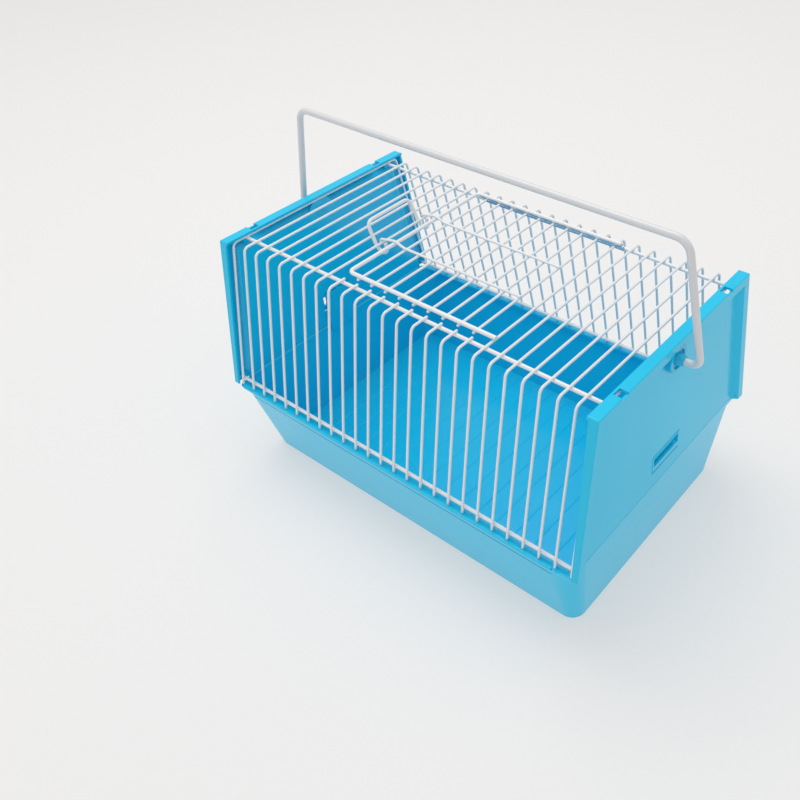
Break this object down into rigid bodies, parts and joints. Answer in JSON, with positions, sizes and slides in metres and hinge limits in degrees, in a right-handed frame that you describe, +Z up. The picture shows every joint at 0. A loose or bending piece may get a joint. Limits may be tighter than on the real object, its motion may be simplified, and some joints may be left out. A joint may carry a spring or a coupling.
{
  "type": "wire-topped pet bird carrying cage",
  "caption": "Small carrying cage for a pet bird: blue moulded tray and end panels, white wire sides and roof, wire roof door with latch bail, and a swinging wire carry handle.",
  "frame": {"origin": "centre of the tray's flat underside, on the ground", "axes": "+X along the cage towards its right end panel, +Y from the door's free edge towards its hinge (the rear), +Z up"},
  "size_m": [0.342, 0.207, 0.2468],
  "materials": {
    "tray_plastic": "semi-gloss moulded, light sky blue",
    "panel_plastic": "semi-gloss moulded, light sky blue",
    "bush_plastic": "semi-gloss moulded, light sky blue",
    "cage_wire": "gloss white coating on steel wire",
    "door_wire": "gloss white coating on steel wire",
    "handle_rod": "gloss white coating on steel rod",
    "latch_wire": "gloss white coating on steel wire",
    "strip_steel": "rolled bright sheet"
  },
  "bodies": {
    "tray": {"tray": "tray_plastic"},
    "cage": {"end_panel_left": "panel_plastic", "end_panel_right": "panel_plastic", "roof_rail_front": "cage_wire", "roof_rail_rear": "cage_wire", "foot_rail_front": "cage_wire", "foot_rail_rear": "cage_wire", "hoop_01": "cage_wire", "hoop_02": "cage_wire", "hoop_03": "cage_wire", "hoop_04": "cage_wire", "hoop_05": "cage_wire", "hoop_06": "cage_wire", "hoop_07": "cage_wire", "hoop_08": "cage_wire", "hoop_19": "cage_wire", "hoop_20": "cage_wire", "hoop_21": "cage_wire", "hoop_22": "cage_wire", "hoop_23": "cage_wire", "hoop_24": "cage_wire", "hoop_25": "cage_wire", "hoop_26": "cage_wire", "hoop_front_09": "cage_wire", "hoop_front_10": "cage_wire", "hoop_front_11": "cage_wire", "hoop_front_12": "cage_wire", "hoop_front_13": "cage_wire", "hoop_front_14": "cage_wire", "hoop_front_15": "cage_wire", "hoop_front_16": "cage_wire", "hoop_front_17": "cage_wire", "hoop_front_18": "cage_wire", "hoop_rear_09": "cage_wire", "hoop_rear_10": "cage_wire", "hoop_rear_11": "cage_wire", "hoop_rear_12": "cage_wire", "hoop_rear_13": "cage_wire", "hoop_rear_14": "cage_wire", "hoop_rear_15": "cage_wire", "hoop_rear_16": "cage_wire", "hoop_rear_17": "cage_wire", "hoop_rear_18": "cage_wire", "handle_bush_left": "bush_plastic", "handle_bush_right": "bush_plastic", "hinge_strip": "strip_steel"},
    "handle": {"carry_handle": "handle_rod"},
    "door": {"door_frame": "door_wire", "door_bar_1": "door_wire", "door_bar_2": "door_wire", "door_bar_3": "door_wire", "door_bar_4": "door_wire", "door_bar_5": "door_wire", "door_bar_6": "door_wire", "door_bar_7": "door_wire", "door_bar_8": "door_wire", "door_bar_9": "door_wire", "door_cross_rod_1": "door_wire", "door_cross_rod_2": "door_wire"},
    "latch": {"latch_bail": "latch_wire"}
  },
  "joints": [
    {"name": "cage_lift", "type": "slide", "parent": "tray", "child": "cage", "axis": [0, 0, 1], "range_m": [0, 0.04]},
    {"name": "handle_swing", "type": "hinge", "parent": "cage", "child": "handle", "pos_m": [0, -0.0008, 0.1656], "axis": [1, 0, 0], "range_deg": [-70, 70]},
    {"name": "door_hinge", "type": "hinge", "parent": "cage", "child": "door", "pos_m": [0.008, 0.0685, 0.1788], "axis": [-1, 0, 0], "range_deg": [0, 36]},
    {"name": "latch_turn", "type": "hinge", "parent": "cage", "child": "latch", "pos_m": [-0.066, -0.0023, 0.1762], "axis": [0, 1, 0], "range_deg": [0, 45]}
  ]
}
